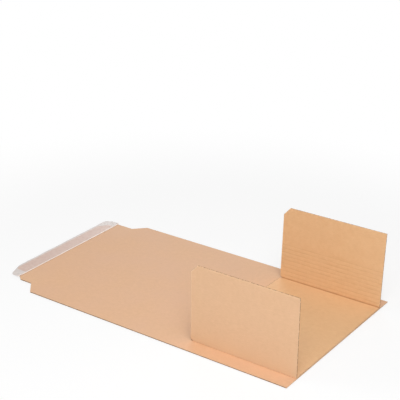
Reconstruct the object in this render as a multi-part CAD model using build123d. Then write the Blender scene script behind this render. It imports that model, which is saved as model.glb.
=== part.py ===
from build123d import *
import os
from math import atan2, cos, pi, sin

# Book wrap mailer, laid open. A long outer wrap of thin corrugated board lies flat. A second
# board, the insert, is glued on it at the open end, and its two side flaps stand up at their
# creases. Double-sided adhesive under a release liner closes the narrow end of the wrap.
# Sizes are in millimetres. X runs along the wrap towards the open end, Y across it and Z up.
# The origin is the middle of the whole length and width, on the surface that it lies on.

# Corrugated board: two flat facings with a fluted medium between them, flutes along Y
board_thickness = 1.6
facing_thickness = 0.25
medium_thickness = 0.2
flute_pitch = 3.5

# Insert: the base between the two creases, and a flap outside each crease
crease_spacing = 302.0
insert_length = 221.0
flap_meeting_gap = 1.0
flap_corner_cut = 14.0
flap_corner_drop = 16.0
crease_corner_cut = 4.0
crease_crush = 3.0
crease_clearance = 0.1

# Score lines pressed into the inner face of each flap, counted up from its crease
score_count = 9
score_pitch = 8.0
score_width = 1.4
score_depth = 0.18

# How far each flap is folded up from lying flat outwards, in degrees
near_flap_angle = 91.0
far_flap_angle = 87.0

# Outer wrap, from the open end to the closure end
edge_margin = 34.0
body_length = 585.0
shoulder_length = 24.0
near_shoulder_inset = 28.0
far_shoulder_inset = 24.0
neck_length = 70.0
near_end_cut_length = 41.0
far_end_cut_length = 28.0
end_cut_depth = 34.0

# Adhesive across the closure end
adhesive_width = 28.5
adhesive_thickness = 0.2
adhesive_setback = 1.0
adhesive_near_margin = 29.0
adhesive_far_margin = 15.0

# Release liner over the adhesive: wider and longer than it, and past the board's end. Its near
# end is cut off at a slant on the outer side.
liner_overhang = 4.0
liner_dry_edge = 1.5
liner_near_margin = 5.0
liner_far_margin = -4.0
liner_taper_length = 38.0
liner_taper_depth = 14.0
liner_tip_radius = 8.0
liner_corner_radius = 16.0
liner_thickness = 0.12

# Places that follow from the sizes above
wrap_length = body_length + shoulder_length + neck_length
open_end = (wrap_length + liner_overhang) / 2
board_end = open_end - wrap_length
insert_start = open_end - insert_length
crease_y = crease_spacing / 2
wrap_edge_y = crease_y + edge_margin
near_neck_y = wrap_edge_y - near_shoulder_inset
far_neck_y = wrap_edge_y - far_shoulder_inset
insert_top = 2 * board_thickness
flap_height = (crease_spacing - flap_meeting_gap) / 2
adhesive_end = board_end + adhesive_setback
adhesive_inner = adhesive_end + adhesive_width
liner_end = board_end - liner_overhang
liner_inner = adhesive_inner + liner_dry_edge


def flute_openings(start, end):
    """Triangles between the facings and the medium, for board from start to end along X."""
    depth = board_thickness - 2 * facing_thickness
    slope = atan2(depth, flute_pitch / 2)
    foot = medium_thickness / 2 / sin(slope)
    tip = medium_thickness / 2 / cos(slope)
    low = facing_thickness
    high = board_thickness - facing_thickness
    half = flute_pitch / 2
    openings = []
    count = int((end - start) / flute_pitch) + 1
    for index in range(count):
        middle = start + (index + 0.5) * flute_pitch
        openings.append([(middle - half + foot, low), (middle + half - foot, low), (middle, high - tip)])
    for index in range(count + 1):
        middle = start + index * flute_pitch
        openings.append([(middle - half + foot, high), (middle + half - foot, high), (middle, low + tip)])
    return openings


def section_loop(points, y):
    """Closed loop of straight edges through points given as (x, z), in the plane at y."""
    corners = [Vector(x, y, z) for x, z in points]
    return Wire.make_polygon(corners, close=True)


def fluted_board(start, end, half_width, open_flutes):
    """Flat board across X from start to end. The flutes at its two cut ends lie open along their
    whole length. The others run right through if open_flutes, and are closed in if not."""
    blank = [(start, 0), (end, 0), (end, board_thickness), (start, board_thickness)]
    through = []
    cut_open = []
    for opening in flute_openings(start, end):
        left = min(x for x, z in opening)
        right = max(x for x, z in opening)
        loop = section_loop(opening, -half_width)
        if left > start and right < end:
            through.append(loop)
        elif right > start and left < end:
            cut_open.append(Face(loop))
    section = Face(section_loop(blank, -half_width), through if open_flutes else [])
    span = Vector(0, 2 * half_width, 0)
    board = Solid.extrude(section, span)
    for face in cut_open:
        board = board - Solid.extrude(face, span)
    return board


def plate(points, low_z, high_z):
    """Upright prism on an outline given as (x, y) points."""
    outline = Wire.make_polygon([Vector(x, y, low_z) for x, y in points], close=True)
    return Solid.extrude(Face(outline), Vector(0, 0, high_z - low_z))


def wrap_corner(side):
    """What is cut away beside the neck: the shoulder, the neck's side and the bevelled end."""
    beyond = 10.0
    neck_y = near_neck_y if side < 0 else far_neck_y
    end_cut_length = near_end_cut_length if side < 0 else far_end_cut_length
    points = [
        (open_end - body_length, wrap_edge_y),
        (open_end - body_length - shoulder_length, neck_y),
        (board_end + end_cut_length, neck_y),
        (board_end, neck_y - end_cut_depth),
        (board_end - beyond, neck_y - end_cut_depth),
        (board_end - beyond, wrap_edge_y + beyond),
        (open_end - body_length, wrap_edge_y + beyond),
    ]
    return plate([(x, side * y) for x, y in points], -beyond, board_thickness + beyond)


def make_outer_wrap():
    wrap = fluted_board(board_end, open_end, wrap_edge_y, open_flutes=True)
    for side in (-1, 1):
        wrap = wrap - wrap_corner(side)
    return wrap


def make_insert_base():
    """Base of the insert, with the channel pressed along each crease, which the flap's heel fills
    when the flap lies flat outwards. The board is crushed shut at both creases."""
    base = fluted_board(insert_start, open_end, crease_y, open_flutes=False)
    base = base.moved(Location((0, 0, board_thickness)))
    channel_radius = board_thickness + crease_clearance
    for side in (-1, 1):
        start = Plane(origin=(insert_start, side * crease_y, insert_top), z_dir=(1, 0, 0))
        base = base - Solid.make_cylinder(channel_radius, insert_length, start)
    return base


def score_groove(distance):
    """Shallow vee along the whole flap, at a distance out from its crease."""
    y = crease_y + distance
    vee = [(y - score_width / 2, insert_top), (y + score_width / 2, insert_top), (y, insert_top - score_depth)]
    corners = [Vector(insert_start, across, up) for across, up in vee]
    return Solid.extrude(Face(Wire.make_polygon(corners, close=True)), Vector(insert_length, 0, 0))


def crease_heel():
    """Quarter-round edge of the flap, which is the rounded outside of the fold when it stands up."""
    start = insert_start + crease_corner_cut
    radius = board_thickness - crease_clearance
    centre = Vector(start, crease_y, insert_top)
    inner = Vector(start, crease_y - radius, insert_top)
    lowest = Vector(start, crease_y, insert_top - radius)
    half_way = Vector(start, crease_y - radius * cos(pi / 4), insert_top - radius * sin(pi / 4))
    arc = Edge.make_three_point_arc(inner, half_way, lowest)
    outline = Wire([Edge.make_line(centre, inner), arc, Edge.make_line(lowest, centre)])
    return Solid.extrude(Face(outline), Vector(open_end - start, 0, 0))


def make_flap(angle):
    """The far flap: cut flat outside its crease, then folded up about the crease line."""
    top_y = crease_y + flap_height
    outline = [
        (insert_start, crease_y + crease_corner_cut),
        (insert_start + crease_corner_cut, crease_y),
        (open_end, crease_y),
        (open_end, top_y),
        (insert_start + flap_corner_cut, top_y),
        (insert_start, top_y - flap_corner_drop),
    ]
    flap = plate(outline, board_thickness, insert_top)
    flutes = []
    for opening in flute_openings(insert_start, open_end):
        loop = section_loop([(x, z + board_thickness) for x, z in opening], crease_y + crease_crush)
        flutes.append(Solid.extrude(Face(loop), Vector(0, flap_height, 0)))
    scores = [score_groove((index + 1) * score_pitch) for index in range(score_count)]
    flap = flap - flutes - scores + crease_heel()
    crease_line = Axis((0, crease_y, insert_top), (1, 0, 0))
    return flap.rotate(crease_line, angle)


def make_adhesive_strip():
    """Rectangle of adhesive, trimmed where the board's end corners are bevelled."""
    near = -near_neck_y + adhesive_near_margin
    far = far_neck_y - adhesive_far_margin
    low_z = board_thickness
    high_z = board_thickness + adhesive_thickness
    corners = [(adhesive_end, near), (adhesive_inner, near), (adhesive_inner, far), (adhesive_end, far)]
    strip = plate(corners, low_z, high_z)
    for side in (-1, 1):
        strip = strip - wrap_corner(side)
    return strip


def make_release_liner():
    """Thin strip over the adhesive, tapered at its near end and rounded at its outer corners."""
    near = -near_neck_y + liner_near_margin
    far = far_neck_y - liner_far_margin
    low_z = board_thickness + adhesive_thickness
    high_z = low_z + liner_thickness
    corners = [
        (liner_end, near + liner_taper_length),
        (liner_end + liner_taper_depth, near),
        (liner_inner, near),
        (liner_inner, far),
        (liner_end, far),
    ]
    strip = plate(corners, low_z, high_z)
    tip = strip.edges().filter_by(Axis.Z).group_by(Axis.X)[1]
    strip = strip.fillet(liner_tip_radius, tip)
    outer_corners = strip.edges().filter_by(Axis.Z).group_by(Axis.X)[0]
    return strip.fillet(liner_corner_radius, outer_corners)


def one_solid(shape):
    """The single solid of a finished sub-part."""
    solids = shape.solids()
    assert len(solids) == 1, "a sub-part has to be one solid"
    return solids[0]


parts = {
    "outer_wrap": make_outer_wrap(),
    "insert_base": make_insert_base(),
    "near_side_flap": mirror(make_flap(near_flap_angle), about=Plane.XZ),
    "far_side_flap": make_flap(far_flap_angle),
    "adhesive_strip": make_adhesive_strip(),
    "release_liner": make_release_liner(),
}

os.makedirs("parts", exist_ok=True)
for name, shape in parts.items():
    export_step(one_solid(shape), f"parts/{name}.step")
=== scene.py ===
import math
import random

import bmesh
import bpy
import numpy as np
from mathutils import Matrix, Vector


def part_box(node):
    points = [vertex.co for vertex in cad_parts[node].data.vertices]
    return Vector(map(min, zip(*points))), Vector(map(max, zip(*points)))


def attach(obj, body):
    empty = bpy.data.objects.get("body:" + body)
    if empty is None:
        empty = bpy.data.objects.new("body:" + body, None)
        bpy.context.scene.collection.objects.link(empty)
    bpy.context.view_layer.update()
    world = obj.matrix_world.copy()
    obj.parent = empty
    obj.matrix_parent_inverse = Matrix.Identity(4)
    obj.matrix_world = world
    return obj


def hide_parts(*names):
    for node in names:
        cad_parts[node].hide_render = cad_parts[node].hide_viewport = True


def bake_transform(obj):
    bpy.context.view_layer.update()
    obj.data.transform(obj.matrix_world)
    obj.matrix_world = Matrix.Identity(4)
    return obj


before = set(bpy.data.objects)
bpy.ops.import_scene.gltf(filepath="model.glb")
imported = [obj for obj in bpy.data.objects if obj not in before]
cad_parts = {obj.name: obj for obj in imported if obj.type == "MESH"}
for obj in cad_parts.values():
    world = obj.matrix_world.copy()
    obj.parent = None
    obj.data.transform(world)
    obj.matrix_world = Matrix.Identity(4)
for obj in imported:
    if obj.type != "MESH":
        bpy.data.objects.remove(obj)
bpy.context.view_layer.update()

# An open book wrap mailer of thin corrugated board, lying on a white table. Every board is built as
# two flat facings with a wavy fluting sheet glued between them. Sizes below are in millimetres, and
# X runs along the wrap towards its open end, Y across it, Z up. Meshes are turned to metres last.
MM = 0.001


def box_mm(node):
    low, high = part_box(node)
    return [round(c / MM, 3) for c in low], [round(c / MM, 3) for c in high]


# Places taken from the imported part
wrap_low, wrap_high = box_mm("outer_wrap")
base_low = box_mm("insert_base")[0]
tape_low, tape_high = box_mm("adhesive_strip")
liner_low, liner_high = box_mm("release_liner")
board_end = wrap_low[0]
open_end = wrap_high[0]
wrap_side = wrap_high[1]
board = wrap_high[2]
insert_start = base_low[0]
insert_top = 2 * board

# Outline of the wrap and the insert, as in the part. The flaps fold about the crease lines
crease_y = 151.0
shoulder_outer = open_end - 585
shoulder_inner = shoulder_outer - 24
near_neck = wrap_side - 28
far_neck = wrap_side - 24
near_bevel_length = 41
far_bevel_length = 28
bevel_depth = 34
flap_height = 150.5
flap_corner_cut = 14
flap_corner_drop = 16
crease_corner_cut = 4
liner_corner_radius = 16
liner_tip_radius = 8
liner_taper_length = 38
liner_taper_depth = 14

# How far each flap is folded up from lying flat outwards, in degrees, and how far its top corner at
# the open end twists outwards. The twist starts outside the wrap's margin
near_flap_angle = 91
far_flap_angle = 87
near_twist = 0.0
far_twist = 1.2
twist_start = 36

# E-flute board: 1.6 mm thick, a flute every 3.5 mm. The washboard is how far its facings sink
# between the flutes, and the fluting stops a little short of a cut edge
facing = 0.25
fluting = 0.2
flute_pitch = 3.5
flute_swing = 0.46
washboard = 0.025
fluting_setback = 0.12
steps_per_flute = 6
steps_per_wave = 8
closest_columns = 0.12

# Cut by a toothed rule, which leaves a fine saw edge and torn ties. A narrow strip along the cut has
# no points but those of the saw edge, and a wider one is worn pale
tooth_pitch = 2.4
tooth_depth = 0.22
cut_strip = 0.7
worn_width = 1.6

# Score lines pressed into the inner face of a flap. They wander a little, are deepest on the flute
# crests, and fade and deepen along their length
score_lines = [8.0 * (index + 1) for index in range(9)]
score_half_width = 1.5
score_depth = 0.17
score_wander = 0.55
score_crest_share = 0.2
score_unevenness = 0.45
# How much a score line darkens the face, partly as burnish and partly as painted shade in its groove
score_darkening = 0.4

# Creases crushed into both inner faces, and the painted light that lightens the foot of a flap's
# outer face above them
valley_steps = [0.4, 0.9, 1.4, 2.0, 2.8]
valley_width = valley_steps[-1]
valley_depth = 0.6
valley_curve = 1.6
fold_squareness = 4.0
fold_inset = 0.1
foot_light_height = 44
foot_light_most = 0.8
foot_light_curve = 1.5

# Points this near a crease keep the smooth faces true right up to it
holding_step = 0.03
# Left free between a folded-in flap and the base
air_gap = 0.02

# Rows of points across the wrap and the base. Between the two rigid rows no row moves to follow the
# outline, and on a flap that is so from just above its crease to above its score lines
middle_rows = [-100, -60, 0, 60, 100]
rigid_rows = (-60, 60)
flap_rigid_rows = (5, 85)
flap_upper_rows = [85, 110, 130]

random.seed(7)


# Colours and nodes

# A colour Mix node takes its share and its two colours at these inputs, and gives MIXED
SHARE, FIRST, SECOND = 0, 6, 7
MIXED = 2


def shade(hex_colour):
    """Linear colour of an sRGB hex value."""
    channels = [int(hex_colour[i:i + 2], 16) / 255 for i in (1, 3, 5)]
    return [c / 12.92 if c <= 0.04045 else ((c + 0.055) / 1.055) ** 2.4 for c in channels] + [1.0]


def add(material, kind, inputs=None, **settings):
    """Adds one node with its settings. An input is a value, or the output socket that feeds it."""
    tree = material.node_tree
    node = tree.nodes.new(kind)
    for name, value in settings.items():
        setattr(node, name, value)
    for name, value in (inputs or {}).items():
        if isinstance(value, bpy.types.NodeSocket):
            tree.links.new(value, node.inputs[name])
        else:
            node.inputs[name].default_value = value
    return node


def new_material(name):
    material = bpy.data.materials.new(name)
    material.use_nodes = True
    material.node_tree.nodes.clear()
    return material


def paper_grain(material, size, detail, stretch=(1, 1, 1), between=(0.3, 0.7), most=1.0):
    """Cloudy grain of a given size in mm, as a share from 0 to most between two of its levels. Stretch
    draws it out along an axis where it is below 1."""
    place = add(material, "ShaderNodeTexCoord").outputs["Object"]
    to_mm = {0: place, 1: [s / MM for s in stretch]}
    in_mm = add(material, "ShaderNodeVectorMath", to_mm, operation="MULTIPLY").outputs[0]
    cloud = add(material, "ShaderNodeTexNoise", {"Vector": in_mm, "Scale": 1 / size, "Detail": detail})
    levels = {"Value": cloud.outputs[0], "From Min": between[0], "From Max": between[1], "To Max": most}
    return add(material, "ShaderNodeMapRange", levels).outputs[0]


def kraft_facing(name, pale, deep, drifted):
    """Unbleached kraft linerboard, pressed smooth on the paper machine and left uncoated: a matt tan
    sheet, faintly cloudy, with fine fibres along X and the flutes just telling through."""
    m = new_material(name)
    # Formation of the sheet: clouds about 9 mm across, and a slow drift of tone over 90 mm
    clouds = paper_grain(m, 9, detail=4)
    cloudy = {SHARE: clouds, FIRST: shade(deep), SECOND: shade(pale)}
    colour = add(m, "ShaderNodeMix", cloudy, data_type="RGBA").outputs[MIXED]
    drift = paper_grain(m, 90, detail=1, most=0.5)
    drifting = {SHARE: drift, FIRST: colour, SECOND: shade(drifted)}
    colour = add(m, "ShaderNodeMix", drifting, data_type="RGBA").outputs[MIXED]
    # Fibre bundles are 0.3 mm wide. They are drawn 0.9 mm wide and 6 mm long, or they would not show
    fibres = paper_grain(m, 0.9, detail=3, stretch=(0.15, 1, 1))
    fibrous = {SHARE: fibres, FIRST: shade("#F8F7F5"), SECOND: shade("#FFFFFF")}
    streaks = add(m, "ShaderNodeMix", fibrous, data_type="RGBA").outputs[MIXED]
    streaked = {SHARE: 1.0, FIRST: colour, SECOND: streaks}
    colour = add(m, "ShaderNodeMix", streaked, data_type="RGBA", blend_type="MULTIPLY").outputs[MIXED]
    # A few dark shives and pale fibre knots, 0.6 mm in the real sheet and drawn at 1.3 and 1.7 mm
    shives = paper_grain(m, 1.3, detail=1, stretch=(0.5, 1, 1), between=(0.73, 0.83), most=0.3)
    flecked = {SHARE: shives, FIRST: colour, SECOND: shade("#A87B52")}
    colour = add(m, "ShaderNodeMix", flecked, data_type="RGBA").outputs[MIXED]
    knots = paper_grain(m, 1.7, detail=1, stretch=(1, 0.6, 1), between=(0.7, 0.78), most=0.3)
    knotted = {SHARE: knots, FIRST: colour, SECOND: shade("#EBCDAA")}
    colour = add(m, "ShaderNodeMix", knotted, data_type="RGBA").outputs[MIXED]
    # Pressed places are darkened, partly as burnished board and partly as painted shade in the crease
    # valleys and score lines. The cut edge is a little fluffed and paler, and the foot of a flap's outer
    # face is lightened by painted light
    pressed = add(m, "ShaderNodeAttribute", attribute_name="pressed").outputs["Fac"]
    pressed = add(m, "ShaderNodeMath", {0: pressed, 1: 0.55}, operation="MULTIPLY").outputs[0]
    burnish_and_painted_shade = {SHARE: pressed, FIRST: colour, SECOND: shade("#AD703D")}
    colour = add(m, "ShaderNodeMix", burnish_and_painted_shade, data_type="RGBA").outputs[MIXED]
    fluff_and_foot_light = add(m, "ShaderNodeAttribute", attribute_name="fluff_and_painted_light").outputs["Fac"]
    fluff_and_foot_light = add(m, "ShaderNodeMath", {0: fluff_and_foot_light, 1: 0.5}, operation="MULTIPLY").outputs[0]
    paler = {SHARE: fluff_and_foot_light, FIRST: colour, SECOND: shade("#EBCBA6")}
    colour = add(m, "ShaderNodeMix", paler, data_type="RGBA").outputs[MIXED]
    # Paper tooth of 0.25 mm, drawn at 0.8 mm
    tooth = paper_grain(m, 0.8, detail=4)
    relief = add(m, "ShaderNodeMath", {0: tooth, 1: fibres}, operation="ADD").outputs[0]
    bump = add(m, "ShaderNodeBump", {"Strength": 0.2, "Distance": 0.03 * MM, "Height": relief})
    rough = add(m, "ShaderNodeMapRange", {"Value": clouds, "To Min": 0.58, "To Max": 0.68}).outputs[0]
    board_face = {"Base Color": colour, "Roughness": rough, "IOR": 1.5, "Normal": bump.outputs[0]}
    body = add(m, "ShaderNodeBsdfPrincipled", board_face)
    add(m, "ShaderNodeOutputMaterial", {"Surface": body.outputs[0]})
    return m


def cut_paper(name, dark, light, tuft, roughness):
    """Kraft fibre where the board was cut or torn, matt and fuzzy. Sheared edges are dulled brown by
    the rule, and torn tufts are pale straw."""
    m = new_material(name)
    fuzz = paper_grain(m, tuft, detail=3)
    tufted = {SHARE: fuzz, FIRST: shade(dark), SECOND: shade(light)}
    colour = add(m, "ShaderNodeMix", tufted, data_type="RGBA").outputs[MIXED]
    bump = add(m, "ShaderNodeBump", {"Strength": 0.8, "Distance": 0.1 * MM, "Height": fuzz})
    cut_face = {"Base Color": colour, "Roughness": roughness, "IOR": 1.5, "Normal": bump.outputs[0]}
    body = add(m, "ShaderNodeBsdfPrincipled", cut_face)
    add(m, "ShaderNodeOutputMaterial", {"Surface": body.outputs[0]})
    return m


def fluting_paper(name):
    """Recycled fluting medium, steamed and rolled into waves: browner than the facings, and darker
    still as painted shade for the deep flute channels, where the inner faces of the facings take it
    too. Near the open end of the wrap and the base it is painted pale, as painted light from the
    white floor shining into the channels."""
    m = new_material(name)
    # Coarse fibres along the flutes, 0.3 mm wide and drawn at 1 mm
    fibres = paper_grain(m, 1.0, detail=3, stretch=(1, 0.2, 1))
    # Painted shade: these browns are darker than the medium itself, for the shade deep in the flute
    # channels
    fibrous = {SHARE: fibres, FIRST: shade("#6E4327"), SECOND: shade("#91603C")}
    colour = add(m, "ShaderNodeMix", fibrous, data_type="RGBA").outputs[MIXED]
    # Painted light: pale near the open end of the wrap and the base, where floor light shines into the
    # channels
    channel_light = add(m, "ShaderNodeAttribute", attribute_name="fluff_and_painted_light").outputs["Fac"]
    painted_channel_light = {SHARE: channel_light, FIRST: colour, SECOND: shade("#E6C29C")}
    colour = add(m, "ShaderNodeMix", painted_channel_light, data_type="RGBA").outputs[MIXED]
    bump = add(m, "ShaderNodeBump", {"Strength": 0.4, "Distance": 0.03 * MM, "Height": fibres})
    wave_face = {"Base Color": colour, "Roughness": 0.85, "IOR": 1.5, "Normal": bump.outputs[0]}
    body = add(m, "ShaderNodeBsdfPrincipled", wave_face)
    add(m, "ShaderNodeOutputMaterial", {"Surface": body.outputs[0]})
    return m


def adhesive_tape(name):
    """Double-sided tissue tape with a rubber adhesive: pinkish, milky and a little wet-looking."""
    m = new_material(name)
    # Long tissue fibres in the adhesive, in wisps about 2.5 mm wide
    tissue = paper_grain(m, 2.5, detail=3, stretch=(1, 0.4, 1))
    wispy = {SHARE: tissue, FIRST: shade("#CFA795"), SECOND: shade("#DDBBAA")}
    colour = add(m, "ShaderNodeMix", wispy, data_type="RGBA").outputs[MIXED]
    bump = add(m, "ShaderNodeBump", {"Strength": 0.3, "Distance": 0.05 * MM, "Height": tissue})
    tacky_face = {"Base Color": colour, "Roughness": 0.3, "IOR": 1.48, "Normal": bump.outputs[0]}
    body = add(m, "ShaderNodeBsdfPrincipled", tacky_face)
    add(m, "ShaderNodeOutputMaterial", {"Surface": body.outputs[0]})
    return m


def release_paper(name):
    """Silicone-coated glassine: a thin satin film, milky, pinkish where it lies on the adhesive and
    whiter where it is dry, at its two tabs and along its edges, with a painted highlight along its
    straight inner edge."""
    m = new_material(name)
    # Milky clouds about 7 mm across
    cloud = paper_grain(m, 7, detail=3)
    milky = {SHARE: cloud, FIRST: shade("#DDD1CB"), SECOND: shade("#E6DDD8")}
    dry = add(m, "ShaderNodeMix", milky, data_type="RGBA").outputs[MIXED]
    pinkish = {SHARE: cloud, FIRST: shade("#D7B9AB"), SECOND: shade("#E0C5B7")}
    wet = add(m, "ShaderNodeMix", pinkish, data_type="RGBA").outputs[MIXED]
    stuck = add(m, "ShaderNodeAttribute", attribute_name="stuck_down").outputs["Fac"]
    lying_on = {SHARE: stuck, FIRST: dry, SECOND: wet}
    colour = add(m, "ShaderNodeMix", lying_on, data_type="RGBA").outputs[MIXED]
    # Painted highlight: its straight inner edge stands off the board and catches the light, which is
    # painted here in near-white. The mark is -1 there
    painted_highlight_band = {"Value": stuck, "From Min": 0.0, "From Max": -1.0}
    inner_edge = add(m, "ShaderNodeMapRange", painted_highlight_band).outputs[0]
    painted_highlight = {SHARE: inner_edge, FIRST: colour, SECOND: shade("#FFEBDD")}
    colour = add(m, "ShaderNodeMix", painted_highlight, data_type="RGBA").outputs[MIXED]
    # Slight wrinkles across the strip, about 3.5 mm apart
    wrinkle = paper_grain(m, 3.5, detail=2, stretch=(1, 0.35, 1))
    bump = add(m, "ShaderNodeBump", {"Strength": 0.5, "Distance": 0.08 * MM, "Height": wrinkle})
    film_face = {"Base Color": colour, "Roughness": 0.38, "IOR": 1.45, "Alpha": 0.93,
                 "Normal": bump.outputs[0]}
    body = add(m, "ShaderNodeBsdfPrincipled", film_face)
    add(m, "ShaderNodeOutputMaterial", {"Surface": body.outputs[0]})
    return m


kraft_wrap = kraft_facing("kraft_linerboard_wrap", "#E6B891", "#E1B28A", "#E2B595")
kraft_inside = kraft_facing("kraft_linerboard_insert_inside", "#E9BE8F", "#E4B687", "#E5B98C")
kraft_outside = kraft_facing("kraft_linerboard_insert_outside", "#E6BB94", "#E1B58D", "#E2B893")
sheared_edge = cut_paper("sheared_kraft_edge", "#C08F66", "#DCB088", 0.7, 0.85)
torn_tufts = cut_paper("torn_kraft_fibre", "#E2B183", "#F2C89A", 0.4, 0.95)
fluting_and_channel_shade = fluting_paper("fluting_medium_and_channel_shade")
tissue_tape = adhesive_tape("tissue_tape_adhesive")
glassine_liner = release_paper("silicone_glassine_liner")


# Meshes

class Sheets:
    """Points and faces of one piece, collected as closed shells before they become a mesh."""

    def __init__(self):
        self.points = []
        self.count = 0
        self.marks = {"pressed": [], "fluff_and_painted_light": []}
        self.faces = []
        self.finishes = []
        self.smooth = []

    def add_points(self, places, pressed=0.0, fluff_and_painted_light=0.0):
        """Adds points of shape (..., 3) in mm and returns their numbers in the same layout."""
        shape = places.shape[:-1]
        size = int(np.prod(shape))
        numbers = np.arange(self.count, self.count + size).reshape(shape)
        self.points.append(places.reshape(-1, 3))
        self.marks["pressed"].append(np.broadcast_to(pressed, shape).reshape(-1))
        self.marks["fluff_and_painted_light"].append(np.broadcast_to(fluff_and_painted_light, shape).reshape(-1))
        self.count += size
        return numbers

    def add_quads(self, numbers, finish, smooth=True, turned=False):
        """Quads over a grid of point numbers. Turned faces look the other way."""
        a, b, c, d = numbers[:-1, :-1], numbers[1:, :-1], numbers[1:, 1:], numbers[:-1, 1:]
        corners = (a, d, c, b) if turned else (a, b, c, d)
        quads = np.stack([x.reshape(-1) for x in corners], axis=1)
        self.faces.extend(quads.tolist())
        self.finishes.extend([finish] * len(quads))
        self.smooth.extend([smooth] * len(quads))

    def add_face(self, numbers, finish):
        self.faces.append([int(n) for n in numbers])
        self.finishes.append(finish)
        self.smooth.append(False)

    def piece(self, name, finishes):
        """Turns the collected shells into one mesh object, in metres."""
        mesh = bpy.data.meshes.new(name)
        mesh.from_pydata((np.concatenate(self.points) * MM).tolist(), [], self.faces)
        mesh.polygons.foreach_set("material_index", self.finishes)
        mesh.polygons.foreach_set("use_smooth", self.smooth)
        for mark, values in self.marks.items():
            layer = mesh.attributes.new(mark, "FLOAT", "POINT")
            layer.data.foreach_set("value", np.concatenate(values).astype(np.float32))
        for finish in finishes:
            mesh.materials.append(finish)
        mesh.validate()
        shell = bmesh.new()
        shell.from_mesh(mesh)
        bmesh.ops.recalc_face_normals(shell, faces=shell.faces)
        shell.to_mesh(mesh)
        shell.free()
        piece = bpy.data.objects.new(name, mesh)
        bpy.context.scene.collection.objects.link(piece)
        return piece


# Where each finish of a board goes: its top face, raw edges, fluting and the inner faces of the
# facings with painted shade, and underside
TOP, RAW, WAVE, UNDER = 0, 1, 2, 3
WRAP_FINISHES = [kraft_wrap, sheared_edge, fluting_and_channel_shade, kraft_wrap]
INSERT_FINISHES = [kraft_inside, sheared_edge, fluting_and_channel_shade, kraft_outside]


def saw(distance):
    """How far the saw edge is cut back at a distance along it."""
    return tooth_depth * np.abs(2 * ((distance / tooth_pitch) % 1) - 1)


def wander(distance, length, seed):
    """Smooth irregular wave from -1 to 1, about one swing in every length of mm. Each edge or line has
    a seed of its own."""
    draw = random.Random(seed)
    total = np.zeros_like(np.asarray(distance, float))
    for step in range(1, 5):
        swings = distance * draw.uniform(0.5, 1.5) * step / 2 / length
        total += np.sin(2 * math.pi * swings + draw.uniform(0, 2 * math.pi)) / step
    most_of_four_waves = 2.1
    return total / most_of_four_waves


def flute_columns(start, end, corners=()):
    """Places along X, several in each flute, with the corners of the outline among them."""
    places = np.arange(start + cut_strip, end - cut_strip, flute_pitch / steps_per_flute)
    places = np.concatenate([places, [end - cut_strip], corners])
    places = np.unique(np.round(places, 3))
    keep = np.concatenate([[True], np.diff(places) > closest_columns])
    return places[keep]


def spread(rows, rigid, low, high):
    """Rows stretched to reach from low to high at each place along X, but left alone between the two
    rigid places."""
    knots = [rows[0], *rigid, rows[-1]]
    return np.array([np.interp(rows, knots, [a, *rigid, b]) for a, b in zip(low, high)])


def add_facing(sheets, columns, sides, rows, back_rows, rigid, outside, inside, channel_light, place, ends,
               face):
    """One closed facing sheet. Sides give its lowest and highest v, which is the distance across it,
    at a place along X. Outside and inside give the heights of its two surfaces, and outside also gives
    its marks. The next argument gives the painted light that makes the inner surface paler near the
    open end, and place puts it all where it lies."""
    low, high = sides(columns)
    across = spread(rows, rigid, low, high)
    along = np.repeat(columns[:, None], len(rows), axis=1)
    lift, pressed, worn = outside(along, across)
    outer = sheets.add_points(place(along, across, lift), pressed, worn)
    back = spread(back_rows, rigid, low, high)
    along = np.repeat(columns[:, None], len(back_rows), axis=1)
    inner = sheets.add_points(place(along, back, inside(along, back)), 0.0, channel_light(along))
    sheets.add_quads(outer, face)
    # The inner surface takes the dark fluting finish, as painted shade inside the flute channels
    sheets.add_quads(inner, WAVE, turned=True)
    sheets.add_quads(np.stack([outer[:, 0], inner[:, 0]], axis=1), RAW, smooth=False)
    sheets.add_quads(np.stack([inner[:, -1], outer[:, -1]], axis=1), RAW, smooth=False)
    # The saw edge at its two ends, with a point at each tooth's tip and root
    for column, cut in ((0, ends[0]), (-1, ends[1])):
        count = int((high[column] - low[column]) / tooth_pitch * 2)
        v = np.linspace(low[column], high[column], count + 1)
        inward = 1 if cut < columns[column] else -1
        x = cut + inward * saw(v - v[0])
        lift, pressed, worn = outside(x, v)
        top = sheets.add_points(place(x, v, lift), pressed, 1.0)
        under = sheets.add_points(place(x, v, inside(x, v)), 0.0, channel_light(x))
        sheets.add_face(list(outer[column]) + list(top[::-1]), face)
        sheets.add_face(list(inner[column]) + list(under[::-1]), WAVE)
        sheets.add_quads(np.stack([top, under], axis=0), RAW, smooth=False)
        sheets.add_face([outer[column][0], top[0], under[0], inner[column][0]], RAW)
        sheets.add_face([outer[column][-1], top[-1], under[-1], inner[column][-1]], RAW)


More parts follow.
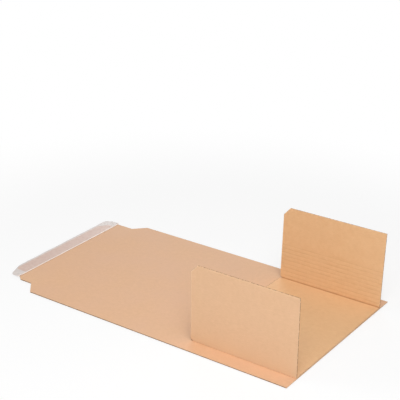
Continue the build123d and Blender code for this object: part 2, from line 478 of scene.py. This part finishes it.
def add_fluting(sheets, start, end, sides, rows, rigid, place, crushed, channel_light):
    """The wavy sheet between the facings, cut flush with them and crushed down at the creases."""
    steps = int((end - start) / flute_pitch * steps_per_wave)
    columns = np.linspace(start, end, steps + 1)
    # A wave valley lies at the open end
    turn = 2 * math.pi * (columns - open_end) / flute_pitch
    middle = board / 2 - flute_swing * np.cos(turn)
    slope = np.arctan(flute_swing * 2 * math.pi / flute_pitch * np.sin(turn))
    low, high = sides(columns)
    across = spread(rows, rigid, low + fluting_setback, high - fluting_setback)
    left = 1 - crushed(across) / (board - 2 * facing)
    loops = []
    for side in (1, -1):
        x = np.clip(columns - side * fluting / 2 * np.sin(slope), start, end)
        lift = middle + side * fluting / 2 * np.cos(slope)
        x = np.repeat(x[:, None], len(rows), axis=1)
        flat = place(x, across, facing + (lift[:, None] - facing) * left)
        loops.append(sheets.add_points(flat, 0.0, channel_light(x)))
    top, under = loops
    sheets.add_quads(top, WAVE)
    sheets.add_quads(under, WAVE, turned=True)
    for edge in (0, -1):
        sheets.add_quads(np.stack([top[:, edge], under[:, edge]], axis=1), WAVE, smooth=False)
        sheets.add_quads(np.stack([top[edge], under[edge]], axis=0), WAVE, smooth=False)


def make_board(name, start, end, sides, rows, back_rows, rigid, place, finishes, pressed, crushed, cut,
               torn_back, corners=(), foot_light=np.zeros_like):
    """A whole corrugated board. Pressed gives how deep its top face is pressed in, in mm, and how much
    it is darkened there, partly as burnished board and partly as painted shade. Crushed gives the part
    of that depth which the whole board takes up. Cut says which of its two sides are cut edges,
    torn_back how far the fluting stops short of its open end, and the last argument where painted
    light lightens its outer face along its foot."""
    sheets = Sheets()
    columns = flute_columns(start, end, corners)
    rows = np.asarray(rows, float)
    back_rows = np.asarray(back_rows, float)

    def ripple(x):
        return washboard * (0.5 - 0.5 * np.cos(2 * math.pi * (x - start) / flute_pitch))

    def channel_light(x):
        # Painted light: near the open end only fluting that reaches the cut is painted pale, as light
        # from the white floor shining into its channels. Fluting torn back half a flute stays dark.
        reaches = 1.0 if torn_back == fluting_setback else 0.0
        return reaches * np.clip(1 - (end - x) / flute_pitch, 0, 1)

    def worn(x, v):
        low, high = sides(x)
        from_edge = np.minimum(x - start, end - x) + 0 * v
        if cut[0]:
            from_edge = np.minimum(from_edge, v - low)
        if cut[1]:
            from_edge = np.minimum(from_edge, high - v)
        return np.clip(1 - from_edge / worn_width, 0, 1)

    def top_face(x, v):
        depth, darkening = pressed(x, v)
        return board - air_gap - ripple(x) - depth, darkening, worn(x, v)

    def top_back(x, v):
        return board - facing - crushed(v) + 0 * x

    def under_face(x, v):
        return ripple(x + flute_pitch / 2) + 0 * v, 0.0, np.maximum(worn(x, v), foot_light(v + 0 * x))

    def under_back(x, v):
        return np.full_like(v, facing)

    ends = (start, end)
    add_facing(sheets, columns, sides, rows, back_rows, rigid, top_face, top_back, channel_light, place, ends,
               TOP)
    add_facing(sheets, columns, sides, rows, rows, rigid, under_face, under_back, channel_light, place, ends,
               UNDER)
    wave_ends = (start + fluting_setback, end - torn_back)
    add_fluting(sheets, *wave_ends, sides, back_rows, rigid, place, crushed, channel_light)
    return sheets.piece(name, finishes)


# The outer wrap lies flat on the table

def wrap_sides(x):
    bevels = [board_end, board_end + near_bevel_length, shoulder_inner, shoulder_outer]
    near = np.interp(x, bevels, [near_neck - bevel_depth, near_neck, near_neck, wrap_side])
    bevels[1] = board_end + far_bevel_length
    far = np.interp(x, bevels, [far_neck - bevel_depth, far_neck, far_neck, wrap_side])
    cut_back = saw(x - board_end)
    return cut_back - near, far - cut_back


def lying(height):
    """Places of a board that lies flat, with its underside at a height."""
    def place(x, v, w):
        return np.stack(np.broadcast_arrays(x, v, w + height), axis=-1)
    return place


def unpressed(x, v):
    return np.zeros_like(v + x), 0.0


def uncrushed(v):
    return np.zeros_like(v)


worn_steps = (worn_width, worn_width / 2, 0)
wrap_edge = [wrap_side - step for step in worn_steps]
wrap_rows = [-y for y in wrap_edge[::-1]] + middle_rows + wrap_edge
wrap_back_rows = [-wrap_side, *rigid_rows, wrap_side]
bevel_corners = [board_end + far_bevel_length, board_end + near_bevel_length]
wrap_corners = bevel_corners + [shoulder_inner, shoulder_outer]
wrap_board = make_board("outer_wrap_board", board_end, open_end, wrap_sides, wrap_rows, wrap_back_rows,
                        rigid_rows, lying(0), WRAP_FINISHES, unpressed, uncrushed, (True, True),
                        fluting_setback, wrap_corners)
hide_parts("outer_wrap")
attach(wrap_board, "wrap")


# The insert: a base glued on the wrap, and two flaps that stand up from its creases

def crease_valley(distance):
    """Depth of the crushed valley at a distance from the crease line."""
    share = np.clip(1 - distance / valley_width, 0, 1)
    return valley_depth * share ** valley_curve


def base_sides(x):
    half = np.full_like(x, crease_y - air_gap)
    return -half, half


def base_crushed(v):
    return crease_valley(crease_y - np.abs(v))


def base_pressed(x, v):
    depth = base_crushed(v) + 0 * x
    return depth, depth / valley_depth


crease_rows = [0, holding_step] + valley_steps
base_far_side = [crease_y - step for step in crease_rows[::-1]]
base_near_side = [-y for y in base_far_side[::-1]]
base_rows = base_near_side + middle_rows + base_far_side
base_back_rows = base_near_side + [*rigid_rows] + base_far_side
insert_base = make_board("insert_base_board", insert_start, open_end, base_sides, base_rows,
                         base_back_rows, rigid_rows, lying(board), INSERT_FINISHES, base_pressed,
                         base_crushed, (False, False), fluting_setback)
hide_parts("insert_base")
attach(insert_base, "wrap")


def flap_sides(x):
    from_cut = x - insert_start
    low = np.clip(crease_corner_cut - from_cut, 0, None)
    dropped = flap_corner_drop * np.clip(1 - from_cut / flap_corner_cut, 0, 1)
    return low, flap_height - dropped - saw(from_cut)


def flap_pressed(seed):
    """The nine score lines and the crease of a flap: how deep they are, and how much they darken the
    face, partly as burnish and partly as painted shade.
    """
    def pressed(x, v):
        depth = crease_valley(v) + 0 * x
        scored = 0 * depth
        crest = np.cos(2 * math.pi * (x - insert_start) / flute_pitch)
        for index, line in enumerate(score_lines):
            centre = line + score_wander * wander(x, 60, seed + index)
            strength = 1 - score_crest_share + score_crest_share * crest
            strength = strength + score_unevenness * wander(x, 50, seed + 20 + index)
            near = np.clip(np.abs(v - centre) / score_half_width, 0, 1)
            scored = scored + strength * (0.5 + 0.5 * np.cos(math.pi * near))
        darkening = np.clip(depth / valley_depth + score_darkening * scored, 0, 1)
        return depth + score_depth * scored, darkening
    return pressed


def painted_foot_light(v):
    """Painted light along the foot of the outer face: lightest at the crease and fading out higher up.
    """
    return foot_light_most * np.clip(1 - v / foot_light_height, 0, 1) ** foot_light_curve


def standing(side, angle, twist):
    """Folds flat places on a flap, x along it and v out from its crease, up about the crease line."""
    turn = math.radians(angle)

    def place(x, v, w):
        share = np.clip((x - insert_start) / (open_end - insert_start), 0, 1)
        beyond = np.clip((v - twist_start) / (flap_height - twist_start), 0, 1)
        w = w - twist * share * beyond ** 2
        y = crease_y + v * math.cos(turn) + (board - w) * math.sin(turn)
        z = insert_top + v * math.sin(turn) - (board - w) * math.cos(turn)
        return np.stack(np.broadcast_arrays(x, side * y, z), axis=-1)
    return place


score_steps = [share * score_half_width for share in (-1, -0.5, 0, 0.5, 1)]
score_rows = [line + step for line in score_lines for step in score_steps]
flap_edge = [flap_height - step for step in worn_steps]
flap_rows = crease_rows + score_rows + flap_upper_rows + flap_edge
flap_back_rows = crease_rows + [*flap_rigid_rows, flap_height]


def make_flap(name, node, body, side, angle, seed, twist):
    """One side flap. Its fluting is torn half a flute back from the open end."""
    corners = [insert_start + crease_corner_cut, insert_start + flap_corner_cut]
    flap = make_board(name, insert_start, open_end, flap_sides, flap_rows, flap_back_rows,
                      flap_rigid_rows, standing(side, angle, twist), INSERT_FINISHES,
                      flap_pressed(seed), crease_valley, (False, True), flute_pitch / 2, corners,
                      painted_foot_light)
    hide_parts(node)
    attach(flap, body)


make_flap("near_flap_board", "near_side_flap", "near_flap", -1, near_flap_angle, 100, near_twist)
make_flap("far_flap_board", "far_side_flap", "far_flap", 1, far_flap_angle, 200, far_twist)


def make_fold(name, side, angle):
    """The crushed strip of board that bends round each crease, from the base up into the flap."""
    sheets = Sheets()
    fold_start = insert_start + crease_corner_cut
    fold_end = open_end - fold_inset
    columns = np.concatenate([[fold_start], flute_columns(fold_start + 1, open_end), [fold_end]])
    turn = math.radians(angle)

    def bend(steps, pressed, foot_light, reach_at):
        """Points round the crease, from the base at angle 0 to the flap at the full turn."""
        hold = holding_step / board
        angles = np.unique(np.concatenate([np.linspace(0, turn, steps), [hold, turn - hold]]))
        x = np.repeat(columns[:, None], len(angles), axis=1)
        reach = reach_at(x, angles)
        y = crease_y + reach * np.sin(angles)
        z = insert_top - reach * np.cos(angles)
        places = np.stack(np.broadcast_arrays(x, side * y, z), axis=-1)
        return sheets.add_points(places, pressed, foot_light)

    def outer_reach(x, angles):
        # The stretched outer facing bends squarer than an arc
        corner = np.clip(angles, 0, math.pi / 2)
        squared = np.cos(corner) ** fold_squareness + np.sin(corner) ** fold_squareness
        flute = np.cos(2 * math.pi * (x - insert_start) / flute_pitch)
        return board / squared ** (1 / fold_squareness) - washboard / 2 * (1 + flute)

    def inner_reach(x, angles):
        return np.full_like(x, valley_depth)

    # The outer skin takes the painted light of the flap's foot. The inner skin takes the full darkening,
    # partly burnish and partly painted shade in the crease
    outer = bend(12, 0.0, painted_foot_light(0), outer_reach)
    inner = bend(5, 1.0, 0.0, inner_reach)
    sheets.add_quads(outer, UNDER)
    sheets.add_quads(inner, TOP, turned=True)
    sheets.add_quads(np.stack([outer[:, 0], inner[:, 0]], axis=1), RAW, smooth=False)
    sheets.add_quads(np.stack([inner[:, -1], outer[:, -1]], axis=1), RAW, smooth=False)
    for column in (0, -1):
        sheets.add_face(list(outer[column]) + list(inner[column][::-1]), RAW)
    fold = sheets.piece(name, INSERT_FINISHES)
    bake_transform(fold)


make_fold("near_crease_fold", -1, near_flap_angle)
make_fold("far_crease_fold", 1, far_flap_angle)


# Torn ties left by the cutting rule, where the blank was held in its sheet

def make_ties(name, body, spots):
    """Small tufts of torn fibre. Each spot is a place and three half-size directions, in mm."""
    tufts = bmesh.new()
    for place, directions in spots:
        made = bmesh.ops.create_icosphere(tufts, subdivisions=2, radius=1.0)
        for vertex in made["verts"]:
            local = vertex.co * random.uniform(0.8, 1.1)
            moved = [place[k] + sum(local[d] * directions[d][k] for d in range(3)) for k in range(3)]
            vertex.co = [MM * c for c in moved]
    mesh = bpy.data.meshes.new(name)
    tufts.to_mesh(mesh)
    tufts.free()
    mesh.materials.append(torn_tufts)
    mesh.shade_smooth()
    ties = bpy.data.objects.new(name, mesh)
    bpy.context.scene.collection.objects.link(ties)
    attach(ties, body)


def flap_ties(place):
    """Ties on a flap: down its open-end edge, and closer together along its top edge. Each is a few
    overlapping lumps of fibre in a row."""
    spots = []
    middle = board / 2
    inset = 0.45
    lump_size = 0.7
    overlap = 1.4
    side_start, side_stop = 9.0, flap_height - 4
    top_start, top_stop = insert_start + 18, open_end - 5

    def add_tie(x, v, along, half_length):
        lumps = max(2, round(half_length / lump_size))
        for lump in range(lumps):
            shift = half_length * (2 * (lump + 0.5) / lumps - 1)
            lump_x, lump_v = (x, v + shift) if along == "v" else (x + shift, v)
            centre = place(np.array(lump_x), np.array(lump_v), np.array(middle))
            up = place(np.array(lump_x), np.array(lump_v + 1.0), np.array(middle)) - centre
            through = place(np.array(lump_x), np.array(lump_v), np.array(middle + 1.0)) - centre
            long, short = overlap * half_length / lumps, random.uniform(0.32, 0.42)
            wide, high = (short, long) if along == "v" else (long, short)
            thick = random.uniform(0.55, 0.7)
            spots.append((centre, [(wide, 0, 0), tuple(high * up), tuple(thick * through)]))

    v = side_start
    while v < side_stop:
        add_tie(open_end - inset, v, "v", random.uniform(1.2, 2.4))
        v += random.uniform(13, 21)
    x = top_start
    while x < top_stop:
        half_length = random.uniform(1.2, 4.2)
        add_tie(x + half_length, flap_height - inset, "x", half_length)
        x += 2 * half_length + random.uniform(1.5, 7)
    return spots


make_ties("near_flap_torn_ties", "near_flap", flap_ties(standing(-1, near_flap_angle, near_twist)))
make_ties("far_flap_torn_ties", "far_flap", flap_ties(standing(1, far_flap_angle, far_twist)))


# The closure end: adhesive, and the release liner over it

def bevel_start(y):
    """Where the board's bevelled end corners leave off, for a place across the wrap."""
    near = np.clip(-y - (near_neck - bevel_depth), 0, None) * near_bevel_length
    far = np.clip(y - (far_neck - bevel_depth), 0, None) * far_bevel_length
    return board_end + (near + far) / bevel_depth


def make_strip(name, node, finish, ys, left, right, steps, bottom, top, marks=None):
    """A thin strip across the wrap, from left to right at each y, as one closed sheet. Steps counts its
    points from left to right, and marks gives its mark at each place."""
    sheets = Sheets()
    share = np.linspace(0, 1, steps)[None, :]
    x = left[:, None] * (1 - share) + right[:, None] * share
    y = np.repeat(ys[:, None], steps, axis=1)
    under = sheets.add_points(np.stack([x, y, bottom(x, y)], axis=-1))
    over = sheets.add_points(np.stack([x, y, top(x, y)], axis=-1))
    sheets.add_quads(over, 0)
    sheets.add_quads(under, 0, turned=True)
    sheets.add_quads(np.stack([over[:, 0], under[:, 0]], axis=1), 0, smooth=False)
    sheets.add_quads(np.stack([under[:, -1], over[:, -1]], axis=1), 0, smooth=False)
    sheets.add_quads(np.stack([over[0], under[0]], axis=0), 0, smooth=False)
    sheets.add_quads(np.stack([under[-1], over[-1]], axis=0), 0, smooth=False)
    if marks is not None:
        sheets.marks["stuck_down"] = [marks(x, y).reshape(-1)] * 2
    strip = sheets.piece(name, [finish])
    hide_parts(node)
    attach(strip, "wrap")


# The adhesive ends a little inside its box, under the liner's straight inner edge. Its edges and its
# thickness waver
tape_shrink = 1.4
tape_waver = 0.15
tape_uneven = 0.03
tape_ys = np.linspace(tape_low[1], tape_high[1], 150)
tape_left = np.maximum(tape_low[0], bevel_start(tape_ys)) + tape_waver * (1 + wander(tape_ys, 12, 31))
tape_right = tape_high[0] - tape_shrink + tape_waver * wander(tape_ys, 15, 32)


def tape_under(x, y):
    return np.full_like(x, board)


def tape_over(x, y):
    return tape_high[2] - tape_uneven * (1 - wander(x + y, 9, 33))


make_strip("adhesive_tape_strip", "adhesive_strip", tissue_tape, tape_ys, tape_left,
           tape_right, 12, tape_under, tape_over)


def rounding(radius, from_end):
    """How far a rounded corner is cut back at a distance from the end."""
    return radius - np.sqrt(radius ** 2 - np.clip(radius - from_end, 0, radius) ** 2)


# The liner's corners are rounded, its inner ones the least, and its near end is also cut off at a
# slant on the outer side. Its edges waver
inner_near_radius, inner_far_radius = 2, 4
outer_waver, inner_waver = 0.3, 0.1
tip_length = 6
liner_length = liner_high[1] - liner_low[1]
liner_tip = np.linspace(0, tip_length, 13)
liner_middle = np.linspace(tip_length, liner_length - tip_length, 220)
liner_places = np.concatenate([liner_tip, liner_middle, liner_length - liner_tip])
liner_ys = liner_low[1] + np.unique(np.round(liner_places, 4))
from_near = liner_ys - liner_low[1]
from_far = liner_high[1] - liner_ys
taper = liner_taper_depth * np.clip(1 - from_near / liner_taper_length, 0, 1)
rounded = rounding(liner_tip_radius, from_near) + rounding(liner_corner_radius, from_far)
liner_left = liner_low[0] + taper + rounded + outer_waver * (1 + wander(liner_ys, 26, 41))
rounded = rounding(inner_near_radius, from_near) + rounding(inner_far_radius, from_far)
liner_right = liner_high[0] - rounded - inner_waver * (1 - wander(liner_ys, 40, 42))

# How far the liner stands off the board, in mm: along its free edge, at its two dry tabs, along its
# dry inner edge, and everywhere as a faint ripple
edge_curl, tab_curl, dry_lift, liner_ripple = 0.3, 0.5, 0.08, 0.02
edge_reach, near_tab_reach, far_tab_reach, dry_reach = 5, 24, 19, 3
dry_start = tape_high[0] - 1.5

# Where the painted highlight along the inner edge starts, and how softly the mark of the adhesive
# ends
bright_start = tape_high[0] - 2.6
stuck_border, stuck_at_edge = 1.6, 0.4


def liner_lift(x, y):
    """The free edge and the two dry tabs curl a little off the board."""
    free = np.clip((tape_low[0] - x) / edge_reach, 0, 1)
    near_tab = np.clip((tape_low[1] - y) / near_tab_reach, 0, 1)
    tab = near_tab + np.clip((y - tape_high[1]) / far_tab_reach, 0, 1)
    curl = edge_curl * free * (1 + wander(y, 24, 43)) + tab_curl * tab * (1 + wander(x + y, 20, 44))
    dry = np.clip((x - dry_start) / dry_reach, 0, 1)
    return curl + dry_lift * dry + liner_ripple * wander(x - y, 8, 45)


def liner_stuck(x, y):
    """Mark on the liner: 1 where it lies on the adhesive, 0 where dry, and -1 along its inner edge,
    where a highlight is painted.
    """
    across = np.minimum(x - bevel_start(y), tape_high[0] - tape_shrink - x)
    inside = np.minimum(across, np.minimum(y - tape_low[1], tape_high[1] - y))
    inner_edge = np.clip(x - bright_start, 0, 1)
    return np.clip(inside / stuck_border + stuck_at_edge, 0, 1) * (1 - inner_edge) - inner_edge


def liner_under(x, y):
    return liner_low[2] + air_gap + liner_lift(x, y)


def liner_over(x, y):
    return liner_high[2] + air_gap + liner_lift(x, y)


make_strip("release_liner_strip", "release_liner", glassine_liner, liner_ys, liner_left,
           liner_right, 26, liner_under, liner_over, liner_stuck)


# Table, light and camera

def seen_directly(material):
    """1 for what the camera sees, also by way of gloss or through a film, and 0 for the rest."""
    path = add(material, "ShaderNodeLightPath").outputs
    glossy = {0: path["Is Camera Ray"], 1: path["Is Glossy Ray"]}
    seen = add(material, "ShaderNodeMath", glossy, operation="MAXIMUM").outputs[0]
    through = {0: seen, 1: path["Is Transmission Ray"]}
    return add(material, "ShaderNodeMath", through, operation="MAXIMUM").outputs[0]


def white_paper(name, white_near, near, far):
    """White paper sweep: matt, and lit to plain white for the camera. Near the object it keeps its
    shadow, and between the distances near and far the plain white takes over."""
    m = new_material(name)
    place = add(m, "ShaderNodeTexCoord").outputs["Object"]
    distance = add(m, "ShaderNodeVectorMath", {0: place}, operation="LENGTH").outputs["Value"]
    fade = {"Value": distance, "From Min": near, "From Max": far, "To Min": white_near, "To Max": 1.0}
    white = add(m, "ShaderNodeMapRange", fade, interpolation_type="SMOOTHSTEP").outputs[0]
    share = add(m, "ShaderNodeMath", {0: seen_directly(m), 1: white}, operation="MULTIPLY")
    paper = add(m, "ShaderNodeBsdfDiffuse", {"Color": shade("#FFFFFF")})
    glow = add(m, "ShaderNodeEmission", {"Color": shade("#FFFFFF"), "Strength": 1.0})
    mixed = add(m, "ShaderNodeMixShader", {0: share.outputs[0], 1: paper.outputs[0], 2: glow.outputs[0]})
    add(m, "ShaderNodeOutputMaterial", {"Surface": mixed.outputs[0]})
    return m


# The table top lies a millimetre lower, as the board never lies quite flat. From here on, metres
floor_level = -0.001
floor_half = 6.0
floor_corners = [(-floor_half, -floor_half), (floor_half, -floor_half),
                 (floor_half, floor_half), (-floor_half, floor_half)]
floor_mesh = bpy.data.meshes.new("table_top")
floor_mesh.from_pydata([(x, y, floor_level) for x, y in floor_corners], [], [(0, 1, 2, 3)])
floor_mesh.materials.append(white_paper("white_table_paper", white_near=0.72, near=0.45, far=1.0))
floor = bpy.data.objects.new("table_top", floor_mesh)
bpy.context.scene.collection.objects.link(floor)

# A dim white room lights the mailer, and the camera sees it plain white
world = bpy.data.worlds.new("studio")
world.use_nodes = True
world.node_tree.nodes.clear()
room = add(world, "ShaderNodeBackground", {"Color": shade("#FFFFFF"), "Strength": 0.26})
backdrop = add(world, "ShaderNodeBackground", {"Color": shade("#FFFFFF"), "Strength": 1.0})
both = {0: seen_directly(world), 1: room.outputs[0], 2: backdrop.outputs[0]}
studio = add(world, "ShaderNodeMixShader", both)
add(world, "ShaderNodeOutputWorld", {"Surface": studio.outputs[0]})
bpy.context.scene.world = world


def softbox(name, place, target, size, watts):
    """Square soft light of a size in metres, aimed at a target."""
    lamp = bpy.data.lights.new(name, "AREA")
    lamp.shape = "SQUARE"
    lamp.size = size
    lamp.energy = watts
    box = bpy.data.objects.new(name, lamp)
    box.location = place
    aim = [t - p for t, p in zip(target, place)]
    box.rotation_euler = Vector(aim).to_track_quat("-Z", "Y").to_euler()
    bpy.context.scene.collection.objects.link(box)


softbox("high_softbox", (0.9, -0.6, 1.9), (0.2, 0, 0), 1.0, 15.5)
softbox("front_softbox", (0.95, -1.35, 1.35), (0.15, 0, 0.05), 1.1, 16)
softbox("left_softbox", (-1.5, -0.9, 1.0), (0.05, 0, 0.05), 1.0, 7)
softbox("back_softbox", (-1.1, 1.7, 0.95), (0.05, 0, 0.05), 1.0, 9)

camera_data = bpy.data.cameras.new("camera")
camera_data.sensor_width = 36
camera_data.lens = 98.82
camera_data.clip_end = 50
camera = bpy.data.objects.new("camera", camera_data)
camera.location = (1.1339, -1.5351, 1.0035)
look_down, turned_left = 23.03, 35.68
camera.rotation_euler = (math.radians(90 - look_down), 0, math.radians(turned_left))
bpy.context.scene.collection.objects.link(camera)
bpy.context.scene.camera = camera
bpy.context.scene.view_settings.view_transform = "Standard"
